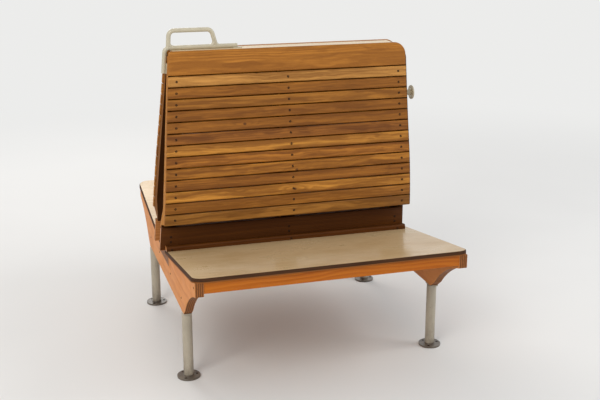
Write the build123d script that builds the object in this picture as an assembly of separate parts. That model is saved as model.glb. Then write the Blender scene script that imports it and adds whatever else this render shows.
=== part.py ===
from build123d import *
import os
from math import atan, cos, radians, sin, tan

# Double-sided slatted railway bench: two slatted backs lean together, each with its own seat.
# X runs from the aisle to the wall, Y along the coach, Z up from the floor.
# The near seat faces -Y and the far seat is its mirror image, so Y = 0 is the middle plane.
# Widths are first measured from the aisle panel's outer face and then moved to the middle.

# Driving sizes: the seats
seat_length = 1146.0          # over both pans
seat_front_height = 430.0     # top of the pan at its front edge
seat_rake = 9.0               # degrees, the pan falls towards the back
pan_thickness = 15.0
pan_width = 901.0
pan_overhang = 6.0            # past the end panels, towards the aisle and the wall
pan_corner_radius = 38.0
pan_edge_radius = 4.0

# Driving sizes: the end panels and what lies between them
panel_thickness = 27.0
panel_setback = 7.0           # the panel's front edge behind the pan's front edge
panel_drop = 200.0            # the straight lower edge below the top of the pan's front edge
panel_low_half = 352.0        # half the length of the straight lower edge
panel_nose_depth = 45.0       # height of the panel at its front
cutout_start_angle = 15.0     # degrees below level where the cut-out leaves the nose
cutout_end_rise = 22.0        # above the straight lower edge
cutout_end_from_middle = 381.0
front_rail_thickness = 22.0
front_rail_depth = 36.0
front_rail_setback = 2.0      # behind the panel's front edge
seat_bearer_thickness = 30.0
seat_bearer_depth = 34.0
beam_half_width = 85.0
beam_flat_half_width = 50.0   # the level part under the ribs
beam_depth = 34.5

# Driving sizes: the slatted backs
back_rise = 598.0             # top of the back above the pan's front edge
back_top_half = 29.0          # rib face from the middle plane at the top
lumbar_top_rise = 250.0       # the same for the start of the straighter upper part
lumbar_top_half = 88.0
lumbar_bottom_rise = 25.0     # the same for the lowest slat
lumbar_bottom_half = 112.0
lumbar_start_lean = 0.5       # degrees from upright at the lowest slat
slat_width = 35.0
slat_gap = 3.3
slat_thickness = 16.0
slat_count = 13
slat_edge_bevel = 2.2
top_board_width = 80.0
top_wall_corner = 42.0
top_aisle_corner = 12.0
end_at_lumbar = -15.2         # the slats' aisle end from the panel's face, at the lowest slat
end_at_top = 34.0             # the same at the top
wall_end_inset = 18.0         # the slats' wall end from the wall panel's outer face
foot_half = 48.0              # face of the ribs' feet from the middle plane
lower_board_width = 80.0
batten_depth = 30.0
batten_height = 18.0
batten_edge_radius = 6.0
cap_thickness = 18.0

# Driving sizes: the ribs that carry the slats
rib_thickness = 50.0
rib_inset = 28.0              # the aisle ribs' centre from the slats' ends
wall_rib_reach = 8.0          # the wall ribs' outer side past the slats' ends
rib_shoulder_radius = 36.0    # the outer top corner of the wall ribs
rib_depth_at_lumbar = 46.0
rib_depth_at_waist = 44.0
foot_depth = 36.0
rib_knee_radius = 30.0

# Driving sizes: the metal parts
leg_diameter = 33.7
leg_wall = 3.2
leg_from_middle = 333.0
flange_diameter = 76.0
flange_thickness = 6.0
flange_hole_circle = 56.0
flange_hole_diameter = 7.0
flange_hole_count = 3
leg_plate_length = 44.0
leg_plate_thickness = 4.0
handle_diameter = 15.0
handle_rise = 72.0            # top of the loop above the back
handle_leg = 84.0             # down the aisle end of the back
handle_tail = 275.0           # end of the bar from the panel's face
handle_outset = 6.0           # outside the line of the slats' ends
loop_left = 40.0
loop_right = 203.0
loop_left_lean = 4.0          # towards the other side of the loop, from the bar up to the top
loop_right_lean = 16.0
loop_bend = 20.0
bar_bend = 16.0
handle_lug_height = 34.0
handle_lug_width = 24.0
handle_lug_thickness = 3.0
handle_web_thickness = 8.0
tail_pad_length = 30.0
tail_pad_width = 20.0
tail_pad_thickness = 3.0
stay_drop = 187.0             # centre of the stay below the top of the back
stay_diameter = 20.0
stay_plate_width = 90.0       # across both wall ribs
stay_plate_height = 40.0
stay_wall_flange = 50.0
stay_flange_thickness = 4.0
stay_hole_circle = 36.0
stay_hole_diameter = 5.0
stay_hole_count = 3
wall_gap = 31.0               # between the wall panel's outer face and the wall

# Clearances
seat_gap = 0.2                # between a curved seat and the piece on it
joint_gap = 0.3               # between neighbouring pieces that don't bear on each other

# Places that follow from the sizes
rake = radians(seat_rake)
seat_front = seat_length / 2
pan_front = seat_front - pan_thickness * sin(rake)
pan_rear = foot_half + joint_gap
pan_slope_length = (pan_front - pan_rear) / cos(rake)
panel_front = seat_front - panel_setback
panel_span = pan_width - 2 * pan_overhang
wall_end = panel_span - wall_end_inset
wall_face = panel_span + wall_gap
panel_low_edge = seat_front_height - panel_drop
back_top = seat_front_height + back_rise
lumbar_top = seat_front_height + lumbar_top_rise
lumbar_bottom = seat_front_height + lumbar_bottom_rise
slat_pitch = slat_width + slat_gap
end_slope = (end_at_top - end_at_lumbar) / (back_top - lumbar_bottom)
end_lean = atan(end_slope)
rib_top = back_top - cap_thickness
handle_bar_height = back_top + seat_gap + handle_diameter / 2


def pan_top(from_middle):
    return seat_front_height - (pan_front - from_middle) * tan(rake)


def pan_underside(from_middle):
    return pan_top(from_middle) - pan_thickness / cos(rake)


def back_end(height):
    return end_at_lumbar + (height - lumbar_bottom) * end_slope


beam_top = pan_underside(beam_flat_half_width)
beam_bottom = beam_top - beam_depth
lower_board_bottom = pan_top(foot_half + slat_thickness) + joint_gap
aisle_limit = panel_thickness / 2 - flange_diameter / 2
middle_x = (aisle_limit + wall_face) / 2


def at(from_panel):
    return from_panel - middle_x


def far(piece):
    return mirror(piece, about=Plane.XZ)


# The curve of the near back, from the lowest slat up to the top, in the middle of the slats' rear faces
start_lean = radians(lumbar_start_lean)
lumbar_curve = TangentArc(
    [(0, -lumbar_bottom_half, lumbar_bottom), (0, -lumbar_top_half, lumbar_top)],
    tangent=(0, sin(start_lean), cos(start_lean)),
)
shoulder_curve = TangentArc(
    [(0, -lumbar_top_half, lumbar_top), (0, -back_top_half, back_top)],
    tangent=lumbar_curve % 1,
)
back_curve = Wire([lumbar_curve, shoulder_curve])
back_length = back_curve.length


def back_plane(from_top):
    """The plane on the back's curve at this distance down from the top, with Z outwards."""
    share = (back_length - from_top) / back_length
    point = back_curve @ share
    along = back_curve % share
    outwards = Vector(0, -along.Z, along.Y)
    return Plane(origin=(0, point.Y, point.Z), x_dir=(1, 0, 0), z_dir=outwards)


def back_board(from_top, width):
    """The seat of a board across the back, and its outline with the slanting aisle end."""
    seat = back_plane(from_top + width / 2)
    low = (seat.origin - seat.y_dir * width / 2).Z
    high = (seat.origin + seat.y_dir * width / 2).Z
    outline = Polyline(
        (at(back_end(low)), -width / 2),
        (at(wall_end), -width / 2),
        (at(wall_end), width / 2),
        (at(back_end(high)), width / 2),
        close=True,
    )
    return seat, make_face(outline)


def slat(number):
    """One slat of the near back, counted down from the top board."""
    from_top = top_board_width + slat_gap + number * slat_pitch
    seat, outline = back_board(from_top, slat_width)
    board = extrude(seat.offset(seat_gap) * outline, slat_thickness, dir=seat.z_dir)
    front = board.faces().sort_by(Axis.Y)[0]
    return chamfer(front.edges().filter_by(Axis.X), slat_edge_bevel)


def top_board():
    """The wide top board, with a large round corner at the wall and a small one at the aisle."""
    seat, outline = back_board(0, top_board_width)
    upper = outline.vertices().group_by(Axis.Y)[-1].sort_by(Axis.X)
    outline = fillet(upper[-1], top_wall_corner)
    aisle_corner = outline.vertices().filter_by(lambda corner: corner.Y > 0).sort_by(Axis.X)[0]
    outline = fillet(aisle_corner, top_aisle_corner)
    board = extrude(seat.offset(seat_gap) * outline, slat_thickness, dir=seat.z_dir)
    front = board.faces().sort_by(Axis.Y)[0]
    return chamfer(front.edges(), slat_edge_bevel)


# The rib's outline: curved front edge, a knee under the lowest slat and a foot on the beam
def rib_outline():
    waist_inner = lumbar_top_half - rib_depth_at_waist
    lumbar_inner = lumbar_bottom_half - rib_depth_at_lumbar
    foot_inner = foot_half - foot_depth
    knee = lower_board_bottom + lower_board_width
    top_front = back_curve @ 1
    inner = Polyline(
        (0, top_front.Y, top_front.Z),
        (0, -joint_gap / 2, back_top),
        (0, -joint_gap / 2, rib_top),
        (0, -waist_inner, lumbar_top),
        (0, -lumbar_inner, lumbar_bottom + rib_depth_at_lumbar),
        (0, -foot_inner, knee - foot_depth / 2),
        (0, -foot_inner, beam_top),
        (0, -foot_half, beam_top),
        (0, -foot_half, knee + slat_thickness / 2),
        (0, -lumbar_bottom_half, lumbar_bottom),
    )
    face = make_face([lumbar_curve, shoulder_curve, *inner.edges()]).face()
    knees = [corner for corner in face.vertices() if abs(corner.Y + lumbar_inner) < 1e-6]
    return face.fillet_2d(rib_knee_radius, knees)


def rib_front(low_edge, slope):
    """A rib seen from the seat: its aisle side would meet the floor at low_edge and slants by slope."""
    return make_face(Polyline(
        (low_edge, 0, 0),
        (low_edge + rib_thickness, 0, 0),
        (low_edge + rib_thickness + rib_top * slope, 0, rib_top),
        (low_edge + rib_top * slope, 0, rib_top),
        close=True,
    ))


def rib(front):
    """The rib that is rib_outline() from the side and this face from the front."""
    wide = extrude(rib_outline(), wall_face, dir=(1, 0, 0), both=True)
    return wide & extrude(front, lumbar_bottom_half * 2, dir=(0, 1, 0), both=True)


def aisle_rib():
    """The rib that slants with the slats' ends; its foot is cut flush with the panel's outer face."""
    whole = rib(rib_front(at(back_end(0) + rib_inset - rib_thickness / 2), end_slope))
    foot_top = lower_board_bottom + lower_board_width
    corner = (Align.MAX, Align.CENTER, Align.MAX)
    outside = Pos(at(0), 0, foot_top) * Box(rib_thickness, lumbar_bottom_half * 2, foot_top, align=corner)
    return whole - outside


def middle_rib():
    low_edge = at((back_end(lumbar_top) + wall_end - rib_thickness) / 2)
    return rib(rib_front(low_edge, 0.0))


def wall_rib():
    """The rib that stands past the slats' wall ends; its round shoulder follows the top board."""
    front = rib_front(at(wall_end + wall_rib_reach - rib_thickness), 0.0)
    shoulder = front.vertices().group_by(Axis.Z)[-1].sort_by(Axis.X)[-1]
    return rib(fillet(shoulder, rib_shoulder_radius))


def lower_board():
    """The set-back board between the lowest slat and the pan."""
    low = back_end(lower_board_bottom)
    high = back_end(lower_board_bottom + lower_board_width)
    outline = make_face(Polyline(
        (at(low), -foot_half, lower_board_bottom),
        (at(wall_end), -foot_half, lower_board_bottom),
        (at(wall_end), -foot_half, lower_board_bottom + lower_board_width),
        (at(high), -foot_half, lower_board_bottom + lower_board_width),
        close=True,
    ))
    board = extrude(outline, slat_thickness, dir=(0, -1, 0))
    front = board.faces().sort_by(Axis.Y)[0]
    return chamfer(front.edges().filter_by(Axis.X), slat_edge_bevel)


def rear_batten():
    """The small batten that covers the joint between the pan and the lower board."""
    inner = foot_half + slat_thickness + joint_gap
    outer = inner + batten_depth
    section = make_face(Polyline(
        (0, -inner, pan_top(inner)),
        (0, -inner, pan_top(inner) + batten_height),
        (0, -outer, pan_top(outer) + batten_height),
        (0, -outer, pan_top(outer)),
        close=True,
    ))
    batten = extrude(Pos(at(-pan_overhang), 0, 0) * section, wall_end + pan_overhang, dir=(1, 0, 0))
    long_edges = batten.edges().filter_by(Axis.X)
    upper_front = long_edges.sort_by(lambda edge: edge.center().Z - edge.center().Y)[-1]
    return fillet(upper_front, batten_edge_radius)


def top_cap():
    """The strip between the two top boards, from the handle's bend to the round corner."""
    half = back_top_half - joint_gap
    lean = back_plane(0).z_dir
    inner_half = half + cap_thickness * abs(lean.Z / lean.Y)
    section = make_face(Polyline(
        (0, -half, back_top),
        (0, half, back_top),
        (0, inner_half, back_top - cap_thickness),
        (0, -inner_half, back_top - cap_thickness),
        close=True,
    ))
    start = back_end(handle_bar_height) + bar_bend
    end = wall_end - top_wall_corner
    return extrude(Pos(at(start), 0, 0) * section, end - start, dir=(1, 0, 0))


def seat_pan():
    """The near pan: a flat board with round front corners and rounded upper edges."""
    outline = Rectangle(pan_width, pan_slope_length, align=(Align.MIN, Align.MIN))
    front_corners = outline.vertices().group_by(Axis.Y)[0]
    outline = fillet(front_corners, pan_corner_radius)
    slope = Plane(
        origin=(at(-pan_overhang), -pan_front, seat_front_height),
        x_dir=(1, 0, 0),
        z_dir=(0, sin(rake), cos(rake)),
    )
    pan = extrude(slope * outline, pan_thickness, dir=-slope.z_dir)
    upper = pan.faces().filter_by(lambda face: face.normal_at().Z > 0.9)[0]
    rear = upper.edges().sort_by(Axis.Y)[-1]
    edges = [edge for edge in upper.edges() if edge != rear]
    return fillet(edges, pan_edge_radius)


# The end panel: sloping top edges under the pans, a notch for the beam and a curved cut-out at each front
def end_panel(start):
    notch = beam_half_width + joint_gap
    nose_bottom = pan_underside(panel_front) - panel_nose_depth
    cutout_end = panel_low_edge + cutout_end_rise
    cut_angle = radians(cutout_start_angle)
    cutout = TangentArc(
        [(0, -panel_front, nose_bottom), (0, -cutout_end_from_middle, cutout_end)],
        tangent=(0, cos(cut_angle), -sin(cut_angle)),
    )
    outline = Polyline(
        (0, -cutout_end_from_middle, cutout_end),
        (0, -panel_low_half, panel_low_edge),
        (0, panel_low_half, panel_low_edge),
        (0, cutout_end_from_middle, cutout_end),
    )
    far_cutout = mirror(cutout, about=Plane.XZ)
    upper = Polyline(
        (0, panel_front, nose_bottom),
        (0, panel_front, pan_underside(panel_front)),
        (0, notch, pan_underside(notch)),
        (0, notch, beam_bottom),
        (0, -notch, beam_bottom),
        (0, -notch, pan_underside(notch)),
        (0, -panel_front, pan_underside(panel_front)),
        (0, -panel_front, nose_bottom),
    )
    face = make_face([cutout, *outline.edges(), far_cutout, *upper.edges()])
    return extrude(Pos(at(start), 0, 0) * face, panel_thickness, dir=(1, 0, 0))


def bar_between_panels(front, rear, depth):
    """A bar along X whose top lies under the near pan."""
    section = make_face(Polyline(
        (0, -front, pan_underside(front)),
        (0, -rear, pan_underside(rear)),
        (0, -rear, pan_underside(front) - depth),
        (0, -front, pan_underside(front) - depth),
        close=True,
    ))
    start = panel_thickness + joint_gap
    length = panel_span - 2 * start
    return extrude(Pos(at(start), 0, 0) * section, length, dir=(1, 0, 0))


rail_front = panel_front - front_rail_setback
rail_rear = rail_front - front_rail_thickness


def seat_bearer():
    """The bearer under the middle of the near pan, from the front rail to the beam."""
    front = rail_rear - joint_gap
    rear = beam_half_width + joint_gap
    section = make_face(Polyline(
        (0, -front, pan_underside(front)),
        (0, -rear, pan_underside(rear)),
        (0, -rear, pan_underside(rear) - seat_bearer_depth),
        (0, -front, pan_underside(front) - seat_bearer_depth),
        close=True,
    ))
    middle = panel_span / 2 - seat_bearer_thickness / 2
    return extrude(Pos(at(middle), 0, 0) * section, seat_bearer_thickness, dir=(1, 0, 0))


def centre_beam():
    """The beam through both end panels: level under the ribs, sloping under the pans' rear edges."""
    section = make_face(Polyline(
        (0, -beam_half_width, beam_bottom),
        (0, -beam_half_width, pan_underside(beam_half_width)),
        (0, -beam_flat_half_width, beam_top),
        (0, beam_flat_half_width, beam_top),
        (0, beam_half_width, pan_underside(beam_half_width)),
        (0, beam_half_width, beam_bottom),
        close=True,
    ))
    return extrude(Pos(at(0), 0, 0) * section, panel_span, dir=(1, 0, 0))


def round_flange(diameter, thickness, hole_circle, hole_diameter, hole_count):
    """A flange on the local XY plane that rises by its thickness, with a ring of screw holes."""
    holes = PolarLocations(hole_circle / 2, hole_count) * Cylinder(
        hole_diameter / 2, thickness, align=(Align.CENTER, Align.CENTER, Align.MIN)
    )
    disc = Cylinder(diameter / 2, thickness, align=(Align.CENTER, Align.CENTER, Align.MIN))
    return disc - holes


def leg(from_panel, from_middle):
    """A tube leg with its floor flange and the plate that is screwed up into the panel."""
    height = panel_low_edge - leg_plate_thickness
    tube = Cylinder(leg_diameter / 2, height, align=(Align.CENTER, Align.CENTER, Align.MIN))
    plate = Pos(0, 0, height) * Box(
        panel_thickness, leg_plate_length, leg_plate_thickness, align=(Align.CENTER, Align.CENTER, Align.MIN)
    )
    bore = Cylinder(leg_diameter / 2 - leg_wall, height, align=(Align.CENTER, Align.CENTER, Align.MIN))
    flange = round_flange(
        flange_diameter, flange_thickness, flange_hole_circle, flange_hole_diameter, flange_hole_count
    )
    return Pos(at(from_panel), from_middle, 0) * (tube + flange + plate - bore)


def handle_tube(points, radius):
    path = FilletPolyline(*[(x, 0, z) for x, z in points], radius=radius)
    start = path @ 0
    ring = Plane(origin=start, z_dir=path % 0) * Circle(handle_diameter / 2)
    return sweep(ring, path=path)


def grab_handle():
    """The handle: a tube up the aisle end and along the top, with a loop to hold."""
    bar = handle_bar_height
    corner = back_end(bar) - handle_outset
    loop_top = back_top + handle_rise - handle_diameter / 2
    down = Vector(-sin(end_lean), 0, -cos(end_lean))
    inwards = Vector(cos(end_lean), 0, -sin(end_lean))
    to_rib = (handle_outset + rib_inset - rib_thickness / 2) * cos(end_lean)
    foot = Vector(at(corner), 0, bar) + down * handle_leg
    rail = handle_tube([(foot.X, foot.Z), (at(corner), bar), (at(handle_tail), bar)], bar_bend)
    loop = handle_tube(
        [
            (at(loop_left), bar),
            (at(loop_left + loop_left_lean), loop_top),
            (at(loop_right - loop_right_lean), loop_top),
            (at(loop_right), bar),
        ],
        loop_bend,
    )
    side = Plane(origin=foot + inwards * to_rib, x_dir=(0, 1, 0), z_dir=inwards)
    lug_places = (Align.CENTER, Align.MIN, Align.MAX)
    web = side * Box(handle_web_thickness, handle_lug_height, to_rib, align=lug_places)
    lug = side * Box(handle_lug_width, handle_lug_height, handle_lug_thickness, align=lug_places)
    pad = Pos(at(handle_tail), 0, back_top) * Box(
        tail_pad_length, tail_pad_width, tail_pad_thickness, align=(Align.CENTER, Align.CENTER, Align.MIN)
    )
    return rail + loop + web + lug + pad


def wall_stay():
    """The short stay from the wall ribs to the wall: a plate across the ribs and a flange on the wall."""
    rib_side = wall_end + wall_rib_reach
    length = wall_face - rib_side
    height = back_top - stay_drop
    towards_wall = Plane(origin=(at(rib_side), 0, height), x_dir=(0, 1, 0), z_dir=(1, 0, 0))
    towards_rib = Plane(origin=(at(wall_face), 0, height), x_dir=(0, 1, 0), z_dir=(-1, 0, 0))
    tube = towards_wall * Cylinder(stay_diameter / 2, length, align=(Align.CENTER, Align.CENTER, Align.MIN))
    inner = towards_wall * Box(
        stay_plate_width, stay_plate_height, stay_flange_thickness, align=(Align.CENTER, Align.CENTER, Align.MIN)
    )
    outer = towards_rib * round_flange(
        stay_wall_flange, stay_flange_thickness, stay_hole_circle, stay_hole_diameter, stay_hole_count
    )
    return tube + inner + outer


pieces = {}

# Seats and underframe
for name, from_panel in (("aisle", 0.0), ("wall", panel_span - panel_thickness)):
    pieces[f"end_panel_{name}"] = end_panel(from_panel)
    for side, direction in (("near", -1), ("far", 1)):
        pieces[f"leg_{name}_{side}"] = leg(from_panel + panel_thickness / 2, direction * leg_from_middle)
pieces["centre_beam"] = centre_beam()
near_seat = {
    "seat_pan": seat_pan(),
    "front_rail": bar_between_panels(rail_front, rail_rear, front_rail_depth),
    "seat_bearer": seat_bearer(),
    "rear_batten": rear_batten(),
}

# Backs
near_back = {
    "top_board": top_board(),
    "lower_board": lower_board(),
    "rib_aisle": aisle_rib(),
    "rib_middle": middle_rib(),
    "rib_wall": wall_rib(),
}
for number in range(slat_count):
    near_back[f"slat_{number + 1:02d}"] = slat(number)

for name, piece in {**near_seat, **near_back}.items():
    pieces[f"{name}_near"] = piece
    pieces[f"{name}_far"] = far(piece)

# Pieces on the middle plane
pieces["top_cap"] = top_cap()
pieces["grab_handle"] = grab_handle()
pieces["wall_stay"] = wall_stay()

os.makedirs("parts", exist_ok=True)
for name, piece in pieces.items():
    export_step(piece, f"parts/{name}.step")
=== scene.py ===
from math import cos, pi, radians, sin, sqrt, tan

import bmesh
import bpy
from mathutils import Matrix, Vector


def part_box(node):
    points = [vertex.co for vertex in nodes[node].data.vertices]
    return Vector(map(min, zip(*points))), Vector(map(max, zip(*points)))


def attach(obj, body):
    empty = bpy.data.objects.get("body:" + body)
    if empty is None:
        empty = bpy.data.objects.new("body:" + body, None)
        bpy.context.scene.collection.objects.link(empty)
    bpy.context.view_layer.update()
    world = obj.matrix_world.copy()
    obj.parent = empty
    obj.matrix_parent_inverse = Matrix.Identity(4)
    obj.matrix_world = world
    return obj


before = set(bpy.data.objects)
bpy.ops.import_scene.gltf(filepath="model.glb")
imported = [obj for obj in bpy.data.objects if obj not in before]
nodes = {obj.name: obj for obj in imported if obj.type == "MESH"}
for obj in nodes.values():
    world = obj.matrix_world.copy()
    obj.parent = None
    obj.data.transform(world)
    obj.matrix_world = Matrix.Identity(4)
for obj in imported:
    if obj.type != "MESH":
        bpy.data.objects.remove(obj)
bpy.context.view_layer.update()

# End panels: two shaped boards of thick plywood that stand on the legs and carry the beam and the pans.
# Their faces are warm veneer under old varnish, and their sawn edges show the plies;
# six wood screws are driven in through each outer face.


def add(tree, kind, sockets=None, **settings):
    """A shader node; sockets are given by name or number, as values or as other nodes' outputs."""
    node = tree.nodes.new("ShaderNode" + kind)
    for name, value in settings.items():
        setattr(node, name, value)
    for key, value in (sockets or {}).items():
        if isinstance(value, bpy.types.NodeSocket):
            tree.links.new(value, node.inputs[key])
        else:
            node.inputs[key].default_value = value
    return node


def feed(tree, inputs, sources):
    """Links outputs to inputs by the inputs' names."""
    for label, source in sources.items():
        tree.links.new(source, inputs[label])


def maths(tree, operation, first, second=0.0):
    return add(tree, "Math", {0: first, 1: second}, operation=operation).outputs[0]


def product(tree, first, second):
    return maths(tree, "MULTIPLY", first, second)


def vectors(tree, operation, first, second):
    return add(tree, "VectorMath", {0: first, 1: second}, operation=operation).outputs[0]


def stretched(tree, vector, factors):
    return vectors(tree, "MULTIPLY", vector, factors)


def scaled(tree, vector, factor):
    return add(tree, "VectorMath", {0: vector, "Scale": factor}, operation="SCALE").outputs[0]


def length(tree, vector):
    return add(tree, "VectorMath", {0: vector}, operation="LENGTH").outputs["Value"]


def axes(tree, vector):
    return add(tree, "SeparateXYZ", {0: vector}).outputs


def reordered(tree, place, order):
    """The coordinates in another order, so that wood grain runs along the first of them."""
    along = axes(tree, place)
    return add(tree, "CombineXYZ", {number: along[axis] for number, axis in enumerate(order)}).outputs[0]


def span(tree, value, low, high, start=0.0, end=1.0):
    """The value's share of the way from low to high, held at both ends, laid out from start to end."""
    sockets = {0: value, 1: low, 2: high, 3: start, 4: end}
    return add(tree, "MapRange", sockets, interpolation_type="SMOOTHSTEP").outputs[0]


def looking_along(tree, normal, axis, low, high):
    """A mask of the faces that look along an axis, either way."""
    return span(tree, maths(tree, "ABSOLUTE", axes(tree, normal)[axis]), low, high)


def mixed(tree, share, under, over):
    """Two colours mixed by a share from 0, all under, to 1, all over."""
    return add(tree, "Mix", {0: share, 6: under, 7: over}, data_type="RGBA").outputs[2]


def noise(tree, place, per_metre, detail=2.0, roughness=0.5):
    """Soft noise with so many cells to the metre along each axis; gives its value and its colour."""
    cells = stretched(tree, place, per_metre)
    sockets = {"Vector": cells, "Scale": 1.0, "Detail": detail, "Roughness": roughness}
    return add(tree, "TexNoise", sockets).outputs


def colour(red, green, blue):
    return (red, green, blue, 1.0)


def new_group(name, inputs, outputs):
    """A shader node group with its inputs' starting values; gives the group and its end nodes' sockets."""
    group = bpy.data.node_groups.new(name, "ShaderNodeTree")
    for label, kind, value in inputs:
        socket = group.interface.new_socket(label, in_out="INPUT", socket_type="NodeSocket" + kind)
        socket.default_value = value
    for label, kind in outputs:
        group.interface.new_socket(label, in_out="OUTPUT", socket_type="NodeSocket" + kind)
    return group, group.nodes.new("NodeGroupInput").outputs, group.nodes.new("NodeGroupOutput").inputs


knot_cells = (4.2, 1, 19.0)   # to the metre; a cell holds one knot at most
knot_edge = (0.0055, 0.0030)  # from a knot's middle: where it begins and where it is full
swell_edge = (0.016, 0.0)     # the same for the swelling of the rings around it
ring_swell = 0.009            # how far the rings bend out there


def long_grain_group():
    """Sawn wood along X: growth rings about a pith at Y = Z = 0, streaks, pores and knots."""
    group, given, result = new_group(
        "long grain",
        [("Place", "Vector", (0, 0, 0)), ("Ring Width", "Float", 0.004), ("Wander", "Float", 0.012),
         ("Knots", "Float", 0.3)],
        [("Rings", "Float"), ("Streaks", "Float"), ("Pores", "Float"), ("Knots", "Float")],
    )
    place = given["Place"]
    drift = noise(group, place, (2.4, 9.0, 9.0), detail=3.0)["Color"]
    drift = vectors(group, "SUBTRACT", drift, (0.5, 0.5, 0.5))
    bent = vectors(group, "ADD", place, scaled(group, drift, given["Wander"]))

    flat_place = stretched(group, place, (1, 0, 1))
    cells = stretched(group, flat_place, knot_cells)
    cell = add(group, "TexVoronoi", {"Vector": cells, "Scale": 1.0}, feature="F1").outputs
    centre = stretched(group, cell["Position"], [1 / number for number in knot_cells])
    from_knot = vectors(group, "SUBTRACT", flat_place, centre)
    chance = add(group, "SeparateColor", {0: cell["Color"]}).outputs[0]
    has_knot = maths(group, "LESS_THAN", chance, given["Knots"])
    near = length(group, stretched(group, from_knot, (0.75, 0, 1)))
    wide = length(group, stretched(group, from_knot, (0.22, 0, 1)))
    knot = product(group, span(group, near, *knot_edge), has_knot)
    swell = product(group, span(group, wide, *swell_edge), has_knot)

    across = length(group, stretched(group, bent, (0, 1, 1)))
    radius = maths(group, "ADD", across, product(group, swell, ring_swell))
    ring = maths(group, "FRACT", maths(group, "DIVIDE", radius, given["Ring Width"]))
    late = product(group, span(group, ring, 0.10, 0.85), span(group, ring, 1.0, 0.86))
    strength = noise(group, place, (1.7, 7.0, 7.0))[0]
    streaks = noise(group, bent, (1.3, 95.0, 95.0), detail=4.0, roughness=0.6)[0]
    pores = noise(group, bent, (55.0, 1300.0, 1300.0))[0]
    feed(group, result, {
        "Rings": product(group, late, span(group, strength, 0.30, 0.68, 0.25, 1.0)),
        "Streaks": span(group, streaks, 0.30, 0.70),
        "Pores": span(group, pores, 0.56, 0.74),
        "Knots": knot,
    })
    return group


def eased_edge_group():
    """Sharp arrises as a hand feels them: a rounded normal, and a mask of the edges where finish wears."""
    group, given, result = new_group(
        "eased edge", [("Radius", "Float", 0.002)], [("Normal", "Vector"), ("Edge", "Float")]
    )
    rounded = add(group, "Bevel", {"Radius": given["Radius"]}, samples=6).outputs[0]
    normals = {0: rounded, 1: add(group, "NewGeometry").outputs["Normal"]}
    match = add(group, "VectorMath", normals, operation="DOT_PRODUCT").outputs["Value"]
    feed(group, result, {"Normal": rounded, "Edge": span(group, match, 0.995, 0.80)})
    return group


long_grain = long_grain_group()
eased_edge = eased_edge_group()


def use(tree, group, sockets):
    """One of the shared effects placed in a material, with its own values."""
    return add(tree, "Group", sockets, node_tree=group).outputs


def new_finish(name, **constants):
    """A material with its shader; constants are the shader's plain values, with _ for a space."""
    material = bpy.data.materials.new(name)
    material.use_nodes = True
    tree = material.node_tree
    shader = tree.nodes["Principled BSDF"]
    for label, value in constants.items():
        shader.inputs[label.replace("_", " ")].default_value = value
    return material, tree, shader


def bumped(tree, height, distance, normal):
    sockets = {"Strength": 1.0, "Distance": distance, "Height": height, "Normal": normal}
    return add(tree, "Bump", sockets).outputs[0]


def dress(material, *names):
    """Gives a material to nodes of the bench."""
    for name in names:
        mesh = nodes[name].data
        mesh.materials.clear()
        mesh.materials.append(material)


panel_thickness = 0.027
ply_count = 9
veneer_early = colour(0.66, 0.250, 0.064)   # the first part of each growth ring
veneer_late = colour(0.56, 0.188, 0.042)    # its last part
veneer_streak = colour(0.72, 0.296, 0.086)
veneer_soil = colour(0.30, 0.115, 0.040)
veneer_worn = colour(0.60, 0.29, 0.10)
light_ply = colour(0.33, 0.122, 0.033)
dark_ply = colour(0.13, 0.042, 0.012)
open_pore = colour(0.09, 0.032, 0.013)


def panel_finish(low_face):
    """Veneer with its grain along Y, and plies on the sawn edges, counted from the face at the lowest X."""
    material, tree, shader = new_finish("veneered plywood", Specular_IOR_Level=0.15)
    spot = add(tree, "TexCoord").outputs
    place = spot["Object"]
    turned = vectors(tree, "ADD", reordered(tree, place, (1, 0, 2)), (0.4, 0.02, -0.22))
    grain = use(tree, long_grain, {"Place": turned, "Ring Width": 0.013, "Wander": 0.05, "Knots": 0.05})
    veneer = mixed(tree, grain["Rings"], veneer_early, veneer_late)
    veneer = mixed(tree, product(tree, grain["Streaks"], 0.45), veneer, veneer_streak)
    blotch = noise(tree, place, (14, 9, 16), detail=4.0, roughness=0.6)[0]
    veneer = mixed(tree, product(tree, span(tree, blotch, 0.52, 0.75), 0.35), veneer, veneer_soil)

    depth = maths(tree, "SUBTRACT", axes(tree, place)[0], low_face)
    ply = maths(tree, "FRACT", product(tree, depth, ply_count / 2 / panel_thickness))
    in_dark_ply = product(tree, span(tree, ply, 0.44, 0.54), span(tree, ply, 1.0, 0.94))
    speck = noise(tree, place, (900, 160, 160), detail=3.0)[0]
    sawn = mixed(tree, in_dark_ply, light_ply, dark_ply)
    sawn = mixed(tree, span(tree, speck, 0.50, 0.80), sawn, open_pore)

    edge = use(tree, eased_edge, {"Radius": 0.0022})
    body = mixed(tree, looking_along(tree, spot["Normal"], 0, 0.45, 0.75), sawn, veneer)
    feed(tree, shader.inputs, {
        "Base Color": mixed(tree, product(tree, edge["Edge"], 0.5), body, veneer_worn),
        "Roughness": span(tree, blotch, 0.3, 0.8, 0.46, 0.62),
        "Normal": bumped(tree, grain["Rings"], 0.0002, edge["Normal"]),
    })
    return material


for name in ("end_panel_aisle", "end_panel_wall"):
    dress(panel_finish(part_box(name)[0].x), name)


def screw_steel():
    """Dark oiled screws with some brown rust in them."""
    material, tree, shader = new_finish("dark screw steel", Metallic=0.1, Specular_IOR_Level=0.05)
    place = add(tree, "TexCoord").outputs["Object"]
    rust = noise(tree, place, (420, 420, 420), detail=3.0)[0]
    oiled, rusty = colour(0.020, 0.013, 0.009), colour(0.034, 0.013, 0.006)
    feed(tree, shader.inputs, {
        "Base Color": mixed(tree, span(tree, rust, 0.42, 0.66), oiled, rusty),
        "Roughness": span(tree, rust, 0.35, 0.7, 0.38, 0.7),
    })
    return material


dark_steel = screw_steel()
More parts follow.
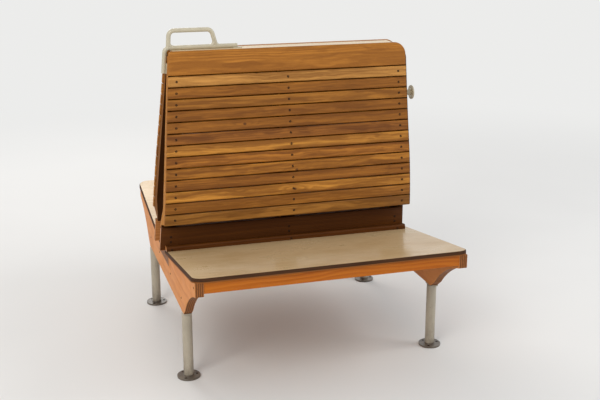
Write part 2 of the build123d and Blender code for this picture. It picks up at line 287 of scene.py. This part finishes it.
# Sizes of a screw's head as shares of its radius
dome_height = 0.30
head_sink = 0.03
slot_half = 0.15
slot_depth = 0.30
across_slot = (-0.97, -0.72, -0.42, -slot_half, -slot_half, slot_half, slot_half, 0.42, 0.72, 0.97)
slot_lines = (4, 5)           # the lines of across_slot that lie on the slot's floor
steps_along = 6


def add_screw(sheet, place, outwards, radius, turn):
    """A raised countersunk head: strips laid across a slot, with the strip between its lines sunk."""
    seat = Matrix.Translation(place) @ outwards.to_track_quat("Z", "Y").to_matrix().to_4x4()
    seat = seat @ Matrix.Rotation(turn, 4, "Z")
    rows = []
    for number, across in enumerate(across_slot):
        half = sqrt(1 - across ** 2)
        drop = slot_depth if number in slot_lines else 0.0
        row = []
        for step in range(steps_along + 1):
            along = half * (2 * step / steps_along - 1)
            lift = dome_height * (1 - across ** 2 - along ** 2) - drop - head_sink
            row.append(sheet.verts.new(seat @ Vector((radius * along, radius * across, radius * lift))))
        rows.append(row)
    for low, high in zip(rows, rows[1:]):
        for step in range(steps_along):
            sheet.faces.new((low[step], low[step + 1], high[step + 1], high[step]))


def new_piece(name, sheet, finish):
    """The faces of a sheet as one more piece of the bench."""
    mesh = bpy.data.meshes.new(name)
    sheet.to_mesh(mesh)
    sheet.free()
    mesh.materials.append(finish)
    piece = bpy.data.objects.new(name, mesh)
    bpy.context.scene.collection.objects.link(piece)
    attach(piece, "root")


def screws(name, places, radius):
    """All the screws of one kind as one piece; places are pairs of a point and the way out of the wood."""
    sheet = bmesh.new()
    for number, (place, outwards) in enumerate(places):
        add_screw(sheet, Vector(place), Vector(outwards), radius, radians(37 * number % 180))
    new_piece(name, sheet, dark_steel)


pan_slope = 0.158             # the rise of the pans and of the panels' tops for each metre outwards
panel_screw_rows = (
    # from the middle plane, below the pan's underside at the panel
    (0.545, 0.018), (0.318, 0.102), (0.115, 0.060),
)
panel_places = []
for name, outwards in (("end_panel_aisle", -1), ("end_panel_wall", 1)):
    low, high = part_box(name)
    face = low.x if outwards < 0 else high.x
    for from_middle, below in panel_screw_rows:
        top = high.z - (high.y - from_middle) * pan_slope
        for side in (-1, 1):
            panel_places.append(((face, side * from_middle, top - below), (outwards, 0, 0)))
screws("panel_screws", panel_places, radius=0.0042)

# Centre beam and seat bearers: plain planed softwood under a thin brown stain.
# The beam runs through notches in both end panels and shows its end grain there;
# a bearer under the middle of each pan runs from the beam to the front rail.
softwood_early = colour(0.34, 0.150, 0.050)
softwood_late = colour(0.17, 0.064, 0.020)
softwood_streak = colour(0.22, 0.088, 0.030)
softwood_end = colour(0.16, 0.060, 0.022)


def finish_wood(tree, shader, wood, grain, edge, roughness, relief):
    """Links a wooden piece's colour, a roughness that follows its streaks and a relief from its rings."""
    feed(tree, shader.inputs, {
        "Base Color": wood,
        "Roughness": span(tree, grain["Streaks"], 0, 1, *roughness),
        "Normal": bumped(tree, grain["Rings"], relief, edge["Normal"]),
    })


def stained_softwood(name, shift, along):
    """Stained softwood with its grain along X, 0, or along Y, 1; its ends are darker."""
    material, tree, shader = new_finish(name, Specular_IOR_Level=0.25)
    spot = add(tree, "TexCoord").outputs
    place = vectors(tree, "ADD", reordered(tree, spot["Object"], (along, 1 - along, 2)), shift)
    grain = use(tree, long_grain, {"Place": place, "Ring Width": 0.006, "Wander": 0.015, "Knots": 0.0})
    edge = use(tree, eased_edge, {"Radius": 0.0025})
    wood = mixed(tree, grain["Rings"], softwood_early, softwood_late)
    wood = mixed(tree, product(tree, grain["Streaks"], 0.4), wood, softwood_streak)
    at_end = looking_along(tree, spot["Normal"], along, 0.6, 0.9)
    wood = mixed(tree, product(tree, at_end, 0.65), wood, softwood_end)
    finish_wood(tree, shader, wood, grain, edge, roughness=(0.50, 0.66), relief=0.0004)
    return material


dress(stained_softwood("stained beam", (0, 0.04, -0.27), along=0), "centre_beam")
dress(stained_softwood("stained bearers", (0, 0, -0.30), along=1), "seat_bearer_near", "seat_bearer_far")

# Front rails: a hardwood lath on edge under the front of each pan, between the end panels.
# It has a glossy orange varnish that has rubbed thin along its arrises.
rail_early = colour(0.52, 0.150, 0.010)
rail_late = colour(0.38, 0.090, 0.004)
rail_streak = colour(0.44, 0.112, 0.006)
rail_knot = colour(0.11, 0.030, 0.008)
rail_worn = colour(0.56, 0.21, 0.04)


def orange_varnish():
    material, tree, shader = new_finish(
        "orange varnished rail", Coat_Weight=0.12, Coat_Roughness=0.15, Specular_IOR_Level=0.15
    )
    place = vectors(tree, "ADD", add(tree, "TexCoord").outputs["Object"], (0.3, 0.35, -0.33))
    grain = use(tree, long_grain, {"Place": place, "Ring Width": 0.0045, "Wander": 0.02, "Knots": 0.12})
    edge = use(tree, eased_edge, {"Radius": 0.002})
    wood = mixed(tree, grain["Rings"], rail_early, rail_late)
    wood = mixed(tree, product(tree, grain["Streaks"], 0.5), wood, rail_streak)
    wood = mixed(tree, grain["Knots"], wood, rail_knot)
    wood = mixed(tree, product(tree, edge["Edge"], 0.45), wood, rail_worn)
    finish_wood(tree, shader, wood, grain, edge, roughness=(0.26, 0.40), relief=0.0002)
    return material


dress(orange_varnish(), "front_rail_near", "front_rail_far")

# Legs: steel tubes with a round floor flange and a small plate under the panel, sprayed cream-grey.
# Each flange is held by three screws; the paint is chipped, dirt has settled in it low down, and the
# flanges are made darker.
flange_top = 0.006
flange_darkening = (0.012, 0.007)  # the heights where the flange's darkening begins and where it is full
grime = colour(0.085, 0.058, 0.040)
flange_dark_colour = colour(0.060, 0.042, 0.030)
bare_metal = colour(0.13, 0.105, 0.085)


def cream_paint(name, base, dirt_top):
    """Old gloss paint with chips down to grey metal and grime that thickens below dirt_top."""
    material, tree, shader = new_finish(name, Coat_Weight=0.3, Coat_Roughness=0.15)
    place = add(tree, "TexCoord").outputs["Object"]
    height = axes(tree, place)[2]
    mottle = noise(tree, place, (38, 38, 20), detail=4.0, roughness=0.6)[0]
    fleck = noise(tree, place, (240, 240, 170), detail=3.0, roughness=0.6)[0]
    edge = use(tree, eased_edge, {"Radius": 0.0015})
    faded = colour(*(0.86 * part for part in base[:3]))
    paint = mixed(tree, span(tree, mottle, 0.35, 0.75), base, faded)
    dirty = product(tree, span(tree, height, dirt_top, 0.0), span(tree, mottle, 0.30, 0.62))
    paint = mixed(tree, product(tree, dirty, 0.60), paint, grime)
    # On the floor flanges the paint is made darker.
    on_flange = span(tree, height, *flange_darkening)
    paint = mixed(tree, product(tree, on_flange, 0.75), paint, flange_dark_colour)
    wear = maths(tree, "ADD", fleck, product(tree, edge["Edge"], 0.10))
    chipped = span(tree, wear, 0.735, 0.750)
    feed(tree, shader.inputs, {
        "Base Color": mixed(tree, chipped, paint, bare_metal),
        "Roughness": span(tree, mottle, 0.3, 0.8, 0.30, 0.48),
        "Normal": bumped(tree, product(tree, chipped, -1.0), 0.00025, edge["Normal"]),
    })
    return material


leg_names = [f"leg_{place}_{side}" for place in ("aisle", "wall") for side in ("near", "far")]
# The legs' paint is darkened by about 15 percent as painted shade from the seats above.
shaded_leg_paint = cream_paint("cream-grey leg paint", colour(0.405, 0.350, 0.265), dirt_top=0.10)
dress(shaded_leg_paint, *leg_names)

flange_screw_circle = 0.028
flange_screw_count = 3
flange_places = []
for name in leg_names:
    low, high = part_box(name)
    middle = (low + high) / 2
    for number in range(flange_screw_count):
        turned = Matrix.Rotation(2 * pi * number / flange_screw_count, 3, "Z")
        around = turned @ Vector((flange_screw_circle, 0, 0))
        flange_places.append(((middle.x + around.x, middle.y + around.y, flange_top), (0, 0, 1)))
screws("floor_flange_screws", flange_places, radius=0.0050)

# Seat pans: plywood with a beige laminate on top, one flat board for each seat.
# Each lies on the end panels, the beam, a bearer and its front rail.
# The laminate is rubbed and speckled by years of sitting, and its edge band is dark brown.
laminate_light = colour(0.62, 0.440, 0.235)
laminate_dark = colour(0.52, 0.350, 0.170)
laminate_fibre = colour(0.70, 0.53, 0.31)
laminate_spot = colour(0.27, 0.155, 0.060)
underside_early = colour(0.40, 0.215, 0.095)
underside_late = colour(0.30, 0.145, 0.058)
band_light = colour(0.070, 0.028, 0.011)
band_dark = colour(0.038, 0.015, 0.006)
below_band = colour(0.26, 0.090, 0.020)
band_height = 0.0105          # from the pan's top down to the lower edge of the dark band
band_edge_blur = 0.001


def beige_laminate(front_y, front_top):
    """Laminate above, a dark band round the edge and plywood below; the pan's front edge is at front_y."""
    material, tree, shader = new_finish(
        "worn beige laminate", Coat_Roughness=0.12, Specular_IOR_Level=0.15
    )
    spot = add(tree, "TexCoord").outputs
    place = spot["Object"]
    facing_up = axes(tree, spot["Normal"])[2]
    on_top = span(tree, facing_up, 0.90, 0.965)
    below = span(tree, facing_up, -0.5, -0.8)
    cloud = noise(tree, place, (5, 7, 7), detail=4.0, roughness=0.6)[0]
    speckle = noise(tree, place, (190, 230, 230), detail=3.0, roughness=0.7)[0]
    fibre = noise(tree, place, (9, 260, 260), detail=3.0, roughness=0.6)[0]
    top = mixed(tree, span(tree, cloud, 0.35, 0.7), laminate_light, laminate_dark)
    top = mixed(tree, span(tree, fibre, 0.40, 0.75, 0.0, 0.45), top, laminate_fibre)
    dotted = product(tree, span(tree, speckle, 0.56, 0.70), span(tree, cloud, 0.42, 0.62))
    top = mixed(tree, product(tree, dotted, 0.55), top, laminate_spot)

    shifted = vectors(tree, "ADD", place, (0.7, 0.25, -0.20))
    grain = use(tree, long_grain, {"Place": shifted, "Ring Width": 0.014, "Wander": 0.08, "Knots": 0.04})
    underside = mixed(tree, grain["Rings"], underside_early, underside_late)

    along = axes(tree, place)
    rise = product(tree, maths(tree, "ABSOLUTE", along[1]), pan_slope)
    top_height = maths(tree, "ADD", rise, front_top - front_y * pan_slope)
    depth = maths(tree, "SUBTRACT", top_height, along[2])
    band = mixed(tree, span(tree, fibre, 0.35, 0.75), band_light, band_dark)
    past_band = span(tree, depth, band_height, band_height + band_edge_blur)
    band = mixed(tree, past_band, band, below_band)

    body = mixed(tree, below, band, underside)
    edge = use(tree, eased_edge, {"Radius": 0.002})
    worn = maths(tree, "ADD", cloud, product(tree, speckle, 0.3))
    rough_top = span(tree, worn, 0.4, 0.9, 0.24, 0.42)
    rough_sides = span(tree, on_top, 0, 1, 0.75, 0.0)
    feed(tree, shader.inputs, {
        "Base Color": mixed(tree, on_top, body, top),
        "Coat Weight": product(tree, on_top, 0.30),
        "Roughness": maths(tree, "MAXIMUM", rough_top, rough_sides),
        "Normal": bumped(tree, speckle, 0.00012, edge["Normal"]),
    })
    return material


pan_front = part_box("seat_pan_far")[1]
dress(beige_laminate(pan_front.y, pan_front.z), "seat_pan_near", "seat_pan_far")

# Rear battens and lower boards: hardwood, bare behind; the dark colour on the side that faces the seat is
# painted shade from the slats above.
# They close the back down to the pan; each board has two screws at every rib and each batten one.
# Painted shade: these dark browns stand for the shade under the overhanging slats.
board_shade_early = colour(0.105, 0.032, 0.0045)
board_shade_late = colour(0.058, 0.016, 0.002)
board_shade_streak = colour(0.052, 0.014, 0.002)
board_shade_knot = colour(0.020, 0.006, 0.001)
worn_edge_brown = colour(0.20, 0.080, 0.022)
bare_early = colour(0.46, 0.190, 0.058)
bare_late = colour(0.30, 0.105, 0.028)


def dark_shade_finish(name, shift, outward):
    """Painted shade in dark brown on the faces that look out and up; outward is -1 for the near seat, 1 for
    the far one.
    """
    material, tree, shader = new_finish(
        name, Coat_Weight=0.06, Coat_Roughness=0.2, Specular_IOR_Level=0.12
    )
    spot = add(tree, "TexCoord").outputs
    place = vectors(tree, "ADD", spot["Object"], shift)
    grain = use(tree, long_grain, {"Place": place, "Ring Width": 0.0050, "Wander": 0.02, "Knots": 0.2})
    edge = use(tree, eased_edge, {"Radius": 0.002})
    painted_shade = mixed(tree, grain["Rings"], board_shade_early, board_shade_late)
    painted_shade = mixed(tree, product(tree, grain["Streaks"], 0.6), painted_shade, board_shade_streak)
    painted_shade = mixed(tree, grain["Knots"], painted_shade, board_shade_knot)
    painted_shade = mixed(tree, product(tree, edge["Edge"], 0.25), painted_shade, worn_edge_brown)
    bare = mixed(tree, grain["Rings"], bare_early, bare_late)
    facing = axes(tree, spot["Normal"])
    looks_out = maths(tree, "ADD", product(tree, facing[1], outward), facing[2])
    # Faces that look out and up get the painted shade, the others the bare wood.
    wood = mixed(tree, span(tree, looks_out, 0.2, 0.5), bare, painted_shade)
    finish_wood(tree, shader, wood, grain, edge, roughness=(0.38, 0.55), relief=0.0003)
    return material


for side, outward in (("near", -1), ("far", 1)):
    dress(dark_shade_finish(f"board with painted shade {side}", (0, 0.10, -0.31), outward), f"lower_board_{side}")
    dress(dark_shade_finish(f"batten with painted shade {side}", (0.2, 0.15, -0.38), outward), f"rear_batten_{side}")

# Ribs: three pairs of sawn hardwood uprights that carry the slats, bent at the knee above the pan.
# Their edges are coloured dark as painted shade of the gap between the two backs; the near planks have a
# lit copy of the wood and the far planks a shaded copy, as painted light and shade.
# Painted light and shade: one wood, lit on the near planks and shaded on the far ones.
rib_lit_and_shaded_tones = {
    "near": (colour(0.520, 0.220, 0.046), colour(0.370, 0.142, 0.027)),
    "far": (colour(0.230, 0.086, 0.019), colour(0.145, 0.050, 0.012)),
}
rib_knot = colour(0.05, 0.018, 0.006)
rib_edge_shade = colour(0.050, 0.017, 0.005)
rib_edge_shade_streak = colour(0.028, 0.010, 0.003)
rib_places = ("aisle", "middle", "wall")


def rib_finish(name, early, late):
    """Sawn hardwood whose grain stands upright, with edges painted dark as shade."""
    material, tree, shader = new_finish(name, Specular_IOR_Level=0.01)
    spot = add(tree, "TexCoord").outputs
    upright = vectors(tree, "ADD", reordered(tree, spot["Object"], (2, 0, 1)), (0, 0.05, 0.12))
    grain = use(tree, long_grain, {"Place": upright, "Ring Width": 0.004, "Wander": 0.03, "Knots": 0.15})
    edge = use(tree, eased_edge, {"Radius": 0.002})
    side = mixed(tree, grain["Rings"], early, late)
    side = mixed(tree, grain["Knots"], side, rib_knot)
    # The edges get painted shade, the dark of the gap between the two backs.
    painted_shade = mixed(tree, product(tree, grain["Streaks"], 0.5), rib_edge_shade, rib_edge_shade_streak)
    wood = mixed(tree, looking_along(tree, spot["Normal"], 0, 0.6, 0.8), painted_shade, side)
    finish_wood(tree, shader, wood, grain, edge, roughness=(0.38, 0.55), relief=0.0003)
    return material


for side, (early, late) in rib_lit_and_shaded_tones.items():
    dress(rib_finish(f"rib {side}", early, late), *(f"rib_{place}_{side}" for place in rib_places))

# Slats and top boards: varnished hardwood strips of mixed colour; one screw holds a slat at each rib.
# Every strip was cut from another plank, so its tone, rings, patches and knots are its own.
slat_tones = {
    # the strip's middle tone, and how far its light and dark patches part
    "straw": ((0.455, 0.205, 0.044), 0.85),
    "gold": ((0.455, 0.188, 0.026), 1.00),
    "honey": ((0.375, 0.144, 0.017), 1.00),
    "amber": ((0.350, 0.136, 0.018), 0.80),
    "russet": ((0.330, 0.118, 0.014), 0.95),
    "brown": ((0.290, 0.104, 0.012), 0.70),
    "olive": ((0.310, 0.130, 0.022), 0.85),
    "umber": ((0.255, 0.088, 0.012), 0.90),
    "orange": ((0.420, 0.158, 0.020), 0.48),
}
near_tones = (
    "straw", "brown", "amber", "brown", "brown", "umber", "gold",
    "russet", "honey", "brown", "gold", "amber", "olive",
)
far_tones = (
    "amber", "gold", "brown", "honey", "straw", "russet", "amber",
    "umber", "olive", "gold", "honey", "brown", "amber",
)
light_shares = (1.42, 1.50, 1.65)   # of the middle tone's red, green and blue, in the light patches
dark_shares = (0.54, 0.48, 0.40)    # the same in the dark patches
slat_pore = colour(0.07, 0.022, 0.005)
slat_knot = colour(0.090, 0.029, 0.006)
slat_end = colour(0.42, 0.150, 0.018)


def shaded(tone, shares):
    return colour(*(part * share for part, share in zip(tone, shares)))


def slat_finish(tone, centre, number):
    """Satin-varnished hardwood for one strip; its pith is set below or behind the strip by its number."""
    middle, spread = slat_tones[tone]
    light, dark = shaded(middle, light_shares), shaded(middle, dark_shares)
    material, tree, shader = new_finish(
        f"{tone} slat {number:02d}", Coat_Roughness=0.2, Specular_IOR_Level=0.20
    )
    spot = add(tree, "TexCoord").outputs
    pith_y = 0.030 + 0.011 * (number * 5 % 7)
    pith_z = -0.035 + 0.013 * (number * 3 % 6)
    shift = (0.37 * number, pith_y - centre.y, pith_z - centre.z)
    place = vectors(tree, "ADD", spot["Object"], shift)
    grain = use(tree, long_grain, {"Place": place, "Ring Width": 0.0042, "Wander": 0.022, "Knots": 0.10})
    edge = use(tree, eased_edge, {"Radius": 0.003})

    drift = scaled(tree, noise(tree, place, (7, 16, 16))["Color"], 0.03)
    patch = noise(tree, vectors(tree, "ADD", place, drift), (2.2, 66, 66), detail=6.0, roughness=0.62)[0]
    share = product(tree, span(tree, patch, 0.38, 0.62), spread)
    share = maths(tree, "ADD", share, (1 - spread) / 2)
    wood = mixed(tree, share, light, dark)
    wood = mixed(tree, product(tree, grain["Rings"], 0.55), wood, dark)
    wood = mixed(tree, product(tree, grain["Streaks"], 0.45), wood, dark)
    wood = mixed(tree, product(tree, grain["Pores"], 0.30), wood, slat_pore)
    wood = mixed(tree, product(tree, grain["Knots"], 0.85), wood, slat_knot)

    at_end = looking_along(tree, spot["Normal"], 0, 0.6, 0.9)
    varnished = maths(tree, "SUBTRACT", 1.0, at_end)
    rough = span(tree, grain["Streaks"], 0, 1, 0.34, 0.48)
    feed(tree, shader.inputs, {
        "Base Color": mixed(tree, product(tree, at_end, 0.5), wood, slat_end),
        "Roughness": maths(tree, "MAXIMUM", rough, product(tree, at_end, 0.85)),
        "Coat Weight": product(tree, varnished, 0.12),
        "Normal": bumped(tree, grain["Rings"], 0.00025, edge["Normal"]),
    })
    return material


slat_numbers = range(1, 14)
for side, tones, counted_before in (("near", near_tones, 0), ("far", far_tones, 20)):
    for number, tone in zip(slat_numbers, tones):
        name = f"slat_{number:02d}_{side}"
        low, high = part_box(name)
        dress(slat_finish(tone, (low + high) / 2, counted_before + number), name)

for side, number in (("near", 51), ("far", 57)):
    low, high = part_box(f"top_board_{side}")
    dress(slat_finish("orange", (low + high) / 2, number), f"top_board_{side}")


def middle_of(values):
    return (min(values) + max(values)) / 2


def front_of(name, side):
    """The middle of a board's front face and the way out of it, from its largest flat faces."""
    mesh = nodes[name].data
    outward = -1 if side == "near" else 1
    facing = [face for face in mesh.polygons if face.normal.y * outward > 0.5]
    normal = max(facing, key=lambda face: face.area).normal.copy()
    flat = [face for face in facing if face.normal.dot(normal) > 0.9995]
    corners = [mesh.vertices[number].co for face in flat for number in face.vertices]
    middle_y = middle_of([corner.y for corner in corners])
    middle_z = middle_of([corner.z for corner in corners])
    return Vector((0, middle_y, middle_z)), normal


rib_thickness = 0.050
board_screw_radius = 0.0044
wall_screw_inset = 0.030      # from the slats' ends to the screws in the wall ribs
middle_row = (0.0,)
lower_board_rows = (-0.012, 0.006)


def screw_line(place, height):
    """Where along X the screws into a rib are at a height; the aisle ribs slant."""
    low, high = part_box(f"rib_{place}_near")
    if place == "wall":
        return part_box("slat_01_near")[1].x - wall_screw_inset
    slope = (high.x - low.x - rib_thickness) / (high.z - low.z)
    return low.x + rib_thickness / 2 + (height - low.z) * slope


def rib_screws(name, side, rows):
    """A screw at every rib on each row, given as distances up the board's face from its middle."""
    middle, outwards = front_of(name, side)
    upwards = outwards.cross(Vector((1, 0, 0)))
    upwards = upwards if upwards.z > 0 else -upwards
    places = []
    for up in rows:
        spot = middle + upwards * up
        for place in rib_places:
            places.append((Vector((screw_line(place, spot.z), spot.y, spot.z)), outwards))
    return places


for side in ("near", "far"):
    places = []
    for number in slat_numbers:
        places += rib_screws(f"slat_{number:02d}_{side}", side, middle_row)
    screws(f"slat_screws_{side}", places, board_screw_radius)
    places = rib_screws(f"lower_board_{side}", side, lower_board_rows)
    places += rib_screws(f"rear_batten_{side}", side, middle_row)
    screws(f"board_screws_{side}", places, board_screw_radius)

# Top cap: a pale planed strip let in between the two top boards, level with their inner edges.
# It lies on the tops of the ribs under thin clear varnish; its pale colour is partly the wood's and partly
# a painted highlight, which makes it the brightest line of the bench.
# Partly painted highlight: these pale tones also paint the bright light along the top.
cap_highlight_early = colour(0.74, 0.60, 0.40)
cap_highlight_late = colour(0.60, 0.44, 0.26)
cap_highlight_streak = colour(0.66, 0.50, 0.31)


def cap_strip_with_painted_highlight():
    material, tree, shader = new_finish(
        "pale cap strip", Coat_Weight=0.15, Coat_Roughness=0.15, Specular_IOR_Level=0.2
    )
    place = vectors(tree, "ADD", add(tree, "TexCoord").outputs["Object"], (0, 0.05, -0.98))
    grain = use(tree, long_grain, {"Place": place, "Ring Width": 0.005, "Wander": 0.02, "Knots": 0.08})
    edge = use(tree, eased_edge, {"Radius": 0.0015})
    wood = mixed(tree, grain["Rings"], cap_highlight_early, cap_highlight_late)
    wood = mixed(tree, product(tree, grain["Streaks"], 0.4), wood, cap_highlight_streak)
    finish_wood(tree, shader, wood, grain, edge, roughness=(0.26, 0.40), relief=0.0002)
    return material


dress(cap_strip_with_painted_highlight(), "top_cap")

# Grab handle and wall stay: bent steel tube, welded and sprayed cream.
# The handle is held by a lug on the aisle rib and a pad on the cap, the stay by a plate on the wall ribs.
# A small fillet of weld fills the corners where the handle's loop meets its bar.
handle_paint = cream_paint("cream handle paint", colour(0.540, 0.485, 0.355), dirt_top=0.0)
dress(handle_paint, "grab_handle", "wall_stay")

weld_radius = 0.0072          # a little less than the tubes', so that a fillet runs out inside them
weld_bend = 0.018             # the radius of a fillet's own bend
weld_steps = 8
ring_steps = 20
bar_drop = 0.0643             # from the handle's top down to the bar's middle line
loop_rise = 0.0568            # from the bar's middle line up to the loop's
loop_legs = (
    # the foot from the tail's end, the leg's lean over its rise, the ways along the bar that have a fillet
    (0.250, 0.004, (1,)),
    (0.087, -0.016, (-1, 1)),
)


def add_weld(sheet, corner, along_leg, along_bar):
    """A fillet between two tubes that meet at a corner: a bent tube that runs out into both of them."""
    half_angle = along_leg.angle(along_bar) / 2
    middle = corner + (along_leg + along_bar).normalized() * (weld_bend / sin(half_angle))
    start = corner + along_leg * (weld_bend / tan(half_angle)) - middle
    axis = along_bar.cross(along_leg).normalized()
    rings = []
    for step in range(weld_steps + 1):
        turned = Matrix.Rotation((pi - 2 * half_angle) * step / weld_steps, 3, axis) @ start
        ring = []
        for number in range(ring_steps):
            angle = 2 * pi * number / ring_steps
            out = turned.normalized() * cos(angle) + axis * sin(angle)
            ring.append(sheet.verts.new(middle + turned + out * weld_radius))
        rings.append(ring)
    for low, high in zip(rings, rings[1:]):
        for number in range(ring_steps):
            following = (number + 1) % ring_steps
            face = sheet.faces.new((low[number], high[number], high[following], low[following]))
            face.smooth = True
    sheet.faces.new(rings[0])
    sheet.faces.new(reversed(rings[-1]))


tail_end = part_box("grab_handle")[1]
sheet = bmesh.new()
for from_tail, lean, ways in loop_legs:
    foot = Vector((tail_end.x - from_tail, 0, tail_end.z - bar_drop))
    along_leg = Vector((lean, 0, loop_rise)).normalized()
    for way in ways:
        add_weld(sheet, foot, along_leg, Vector((way, 0, 0)))
new_piece("handle_welds", sheet, handle_paint)

# Floor, light and camera: a plain pale floor that fades into the backdrop, and three large soft lamps.
# The camera stands where the photograph was taken from.
floor_reach = 14.0            # from its middle to each edge
backdrop_colour = colour(0.84, 0.84, 0.83)
fade = (1.4, 4.5)             # from its middle: where the backdrop's colour begins and where it is full


def plain_floor():
    material, tree, shader = new_finish("plain floor", Roughness=0.85, Specular_IOR_Level=0.2)
    place = add(tree, "TexCoord").outputs["Object"]
    shade = noise(tree, place, (1.5, 1.5, 1.5))[0]
    floor_colour = mixed(tree, shade, colour(0.74, 0.73, 0.71), colour(0.78, 0.77, 0.75))
    feed(tree, shader.inputs, {"Base Color": floor_colour})
    far_off = span(tree, length(tree, place), *fade)
    seen_far = product(tree, far_off, add(tree, "LightPath").outputs["Is Camera Ray"])
    glow = add(tree, "Emission", {"Color": backdrop_colour, "Strength": 1.0})
    blend = add(tree, "MixShader", {0: seen_far, 1: shader.outputs[0], 2: glow.outputs[0]})
    tree.links.new(blend.outputs[0], tree.nodes["Material Output"].inputs["Surface"])
    return material


sheet = bmesh.new()
directions = ((-1, -1), (1, -1), (1, 1), (-1, 1))
sheet.faces.new([sheet.verts.new((x * floor_reach, y * floor_reach, 0)) for x, y in directions])
floor_mesh = bpy.data.meshes.new("floor")
sheet.to_mesh(floor_mesh)
sheet.free()
floor_mesh.materials.append(plain_floor())
floor = bpy.data.objects.new("floor", floor_mesh)
bpy.context.scene.collection.objects.link(floor)

world = bpy.data.worlds.new("studio")
world.use_nodes = True
bpy.context.scene.world = world
sky = world.node_tree
background = sky.nodes["Background"]
rays = add(sky, "LightPath").outputs
reflected = maths(sky, "MAXIMUM", rays["Is Glossy Ray"], rays["Is Transmission Ray"])
seen = maths(sky, "MAXIMUM", rays["Is Camera Ray"], reflected)
feed(sky, background.inputs, {"Color": mixed(sky, seen, colour(0.55, 0.56, 0.58), backdrop_colour)})
background.inputs["Strength"].default_value = 1.0

lamp_target = Vector((0, 0, 0.6))


def soft_lamp(name, place, size, power, tint):
    lamp = bpy.data.lights.new(name, "AREA")
    lamp.shape = "SQUARE"
    lamp.size = size
    lamp.energy = power
    lamp.color = tint
    holder = bpy.data.objects.new(name, lamp)
    holder.location = place
    holder.rotation_euler = (lamp_target - Vector(place)).to_track_quat("-Z", "Y").to_euler()
    bpy.context.scene.collection.objects.link(holder)


soft_lamp("aisle_side", (-3.2, -3.4, 3.3), size=2.6, power=130, tint=(1.0, 0.97, 0.92))
soft_lamp("wall_side", (3.6, -1.2, 2.6), size=2.2, power=60, tint=(0.95, 0.98, 1.0))
soft_lamp("behind", (-0.8, 3.8, 3.2), size=2.6, power=85, tint=(1.0, 0.98, 0.95))

camera = bpy.data.objects.new("camera", bpy.data.cameras.new("camera"))
camera.data.lens = 60
camera.location = (-0.953, -3.31, 1.5)
look_at = Vector((0.035, -0.05, 0.485))
camera.rotation_euler = (look_at - camera.location).to_track_quat("-Z", "Y").to_euler()
bpy.context.scene.collection.objects.link(camera)
bpy.context.scene.camera = camera
bpy.context.scene.view_settings.view_transform = "Standard"
